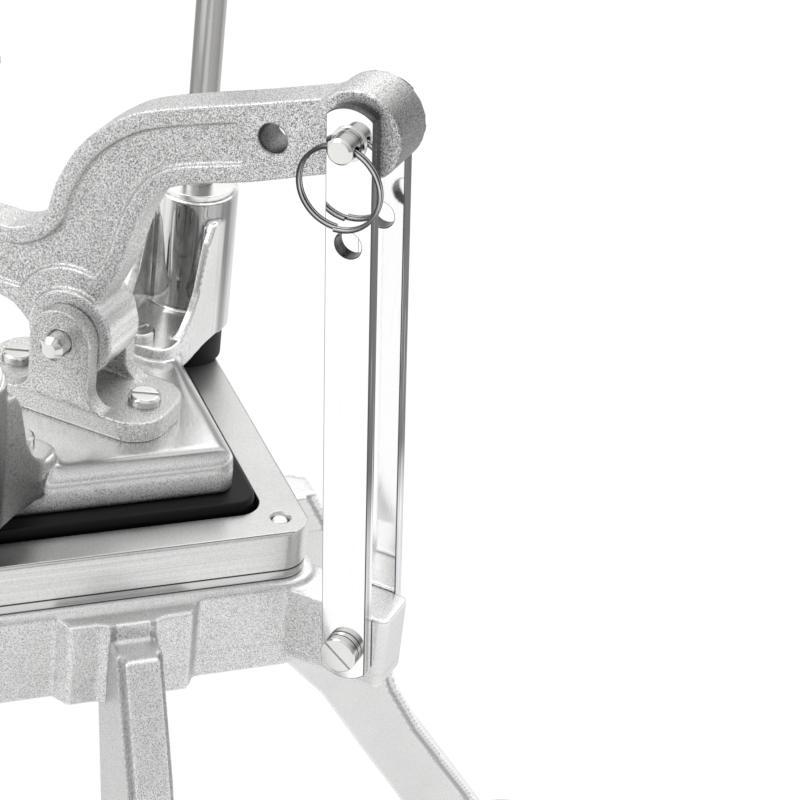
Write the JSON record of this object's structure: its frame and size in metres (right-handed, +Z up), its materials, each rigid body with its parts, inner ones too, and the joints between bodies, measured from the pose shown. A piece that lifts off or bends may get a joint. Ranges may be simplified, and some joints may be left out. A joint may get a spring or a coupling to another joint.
{
  "type": "french fry cutter",
  "caption": "Lever-operated french fry cutter: a guided pusher block pressed through a blade grid by a toggle lever and link bars.",
  "frame": {"origin": "on the table, below the middle of the bounding box in X and Y", "axes": "+Z up; +X to the rear, the link bar side, and -X towards the handle; +Y to the left as seen from the handle's end looking to the rear"},
  "size_m": [0.4363, 0.3366, 0.4713],
  "materials": {
    "cast_aluminium": "fine-grained bead-blasted casting",
    "head_aluminium": "casting with a satin top and a grainy wall",
    "machined_aluminium": "satin machined plate with a brushed edge",
    "stainless_plate": "satin stainless plate",
    "stainless_blade": "bright ground blade strip",
    "polished_bar": "mirror polished flat bar",
    "ground_rod": "ground round rod",
    "bushing_steel": "bright turned bushing",
    "hardware": "polished turned steel",
    "ring_steel": "nickel-plated spring wire",
    "bronze": "oiled plain bearing",
    "black_rubber": "matt black rubber",
    "black_plastic": "satin black plastic",
    "black_vinyl": "soft black dipped grip"
  },
  "bodies": {
    "base": {"base_casting": "cast_aluminium", "pivot_shank": "hardware", "blade_holder": "stainless_plate", "upper_blades": "stainless_blade", "lower_blades": "stainless_blade", "upper_frame": "machined_aluminium", "frame_studs": "hardware", "stud_washers": "hardware", "stud_nuts": "hardware", "left_guide_rod": "ground_rod", "right_guide_rod": "ground_rod", "rod_washers": "hardware", "rod_nuts": "hardware", "stop_washers": "hardware", "cap_nuts": "hardware", "left_bumper": "black_rubber", "right_bumper": "black_rubber", "rubber_feet": "black_rubber", "foot_screws": "hardware", "foot_nuts": "hardware"},
    "pusher": {"pusher_head": "head_aluminium", "left_guide_bushing": "bushing_steel", "right_guide_bushing": "bushing_steel", "pusher_block": "black_plastic", "block_screws": "hardware", "clevis_bracket": "cast_aluminium", "bracket_screws": "hardware", "clevis_pin": "hardware", "clevis_pin_washer": "hardware"},
    "lever": {"lever_arm": "cast_aluminium", "pivot_bushing": "bronze", "link_bushing": "bronze", "handle_grip": "black_vinyl"},
    "links": {"left_link": "polished_bar", "right_link": "polished_bar", "link_pin": "hardware", "link_pin_washer": "hardware", "pivot_screw_head": "hardware", "pivot_nut": "hardware"},
    "clevis_pin_ring": {"clevis_ring": "ring_steel"},
    "link_pin_ring": {"link_ring": "ring_steel"}
  },
  "joints": [
    {"name": "pusher_slide", "type": "slide", "parent": "base", "child": "pusher", "axis": [0, 0, 1], "range_m": [0, 0.12]},
    {"name": "lever_pivot", "type": "hinge", "parent": "pusher", "child": "lever", "pos_m": [0.04984, 0, 0.3105], "axis": [0, 1, 0], "range_deg": [-0.5, 49.52]},
    {"name": "link_pivot", "type": "hinge", "parent": "lever", "child": "links", "pos_m": [0.15784, 0, 0.4263], "axis": [0, 1, 0], "range_deg": [-35.76, 0.5]},
    {"name": "clevis_ring_swing", "type": "hinge", "parent": "pusher", "child": "clevis_pin_ring", "pos_m": [0.04984, 0.0229, 0.3105], "axis": [0.6428, 0, -0.766], "range_deg": [-3, 80]},
    {"name": "link_ring_swing", "type": "hinge", "parent": "links", "child": "link_pin_ring", "pos_m": [0.15784, -0.0214, 0.4263], "axis": [-1, 0, 0], "range_deg": [-3, 80]}
  ],
  "couplings": [
    {"joint": "lever_pivot", "follows": "pusher_slide", "rad_per_m": 7.1291},
    {"joint": "link_pivot", "follows": "pusher_slide", "rad_per_m": -5.1277}
  ]
}
